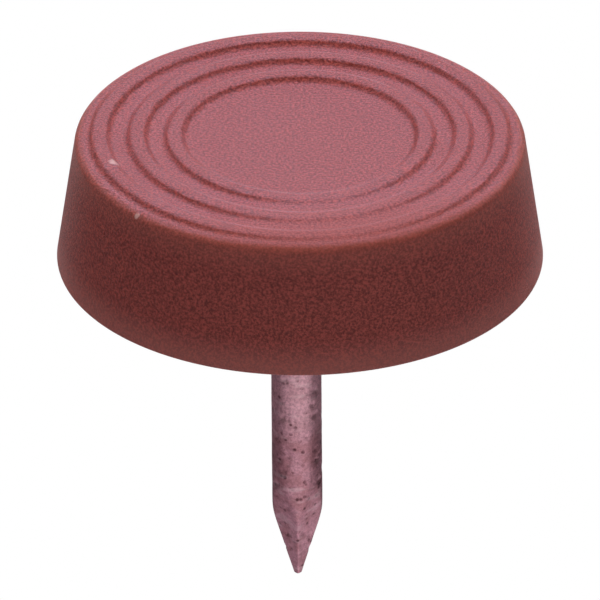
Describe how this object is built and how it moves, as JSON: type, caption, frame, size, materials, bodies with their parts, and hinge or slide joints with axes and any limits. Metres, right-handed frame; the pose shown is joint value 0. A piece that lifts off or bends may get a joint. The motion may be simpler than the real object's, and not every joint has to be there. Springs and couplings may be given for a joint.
{
  "type": "furniture glide",
  "caption": "Nail-on furniture glide: a round moulded plastic pad with concentric ring beads on its running face and a steel nail standing out of its seat.",
  "frame": {"origin": "centre of the running face, on the floor that the glide stands on", "axes": "+Z along the nail, from the running face towards the nail's point; X and Y lie along the edges of the four-sided point"},
  "size_m": [0.024, 0.024, 0.025],
  "materials": {
    "pad_plastic": "matt reddish brown, finely textured by the mould",
    "nail_steel": "dull drawn wire, slightly stained and scuffed"
  },
  "bodies": {
    "root": {"glide_pad": "pad_plastic", "nail": "nail_steel"}
  },
  "joints": []
}
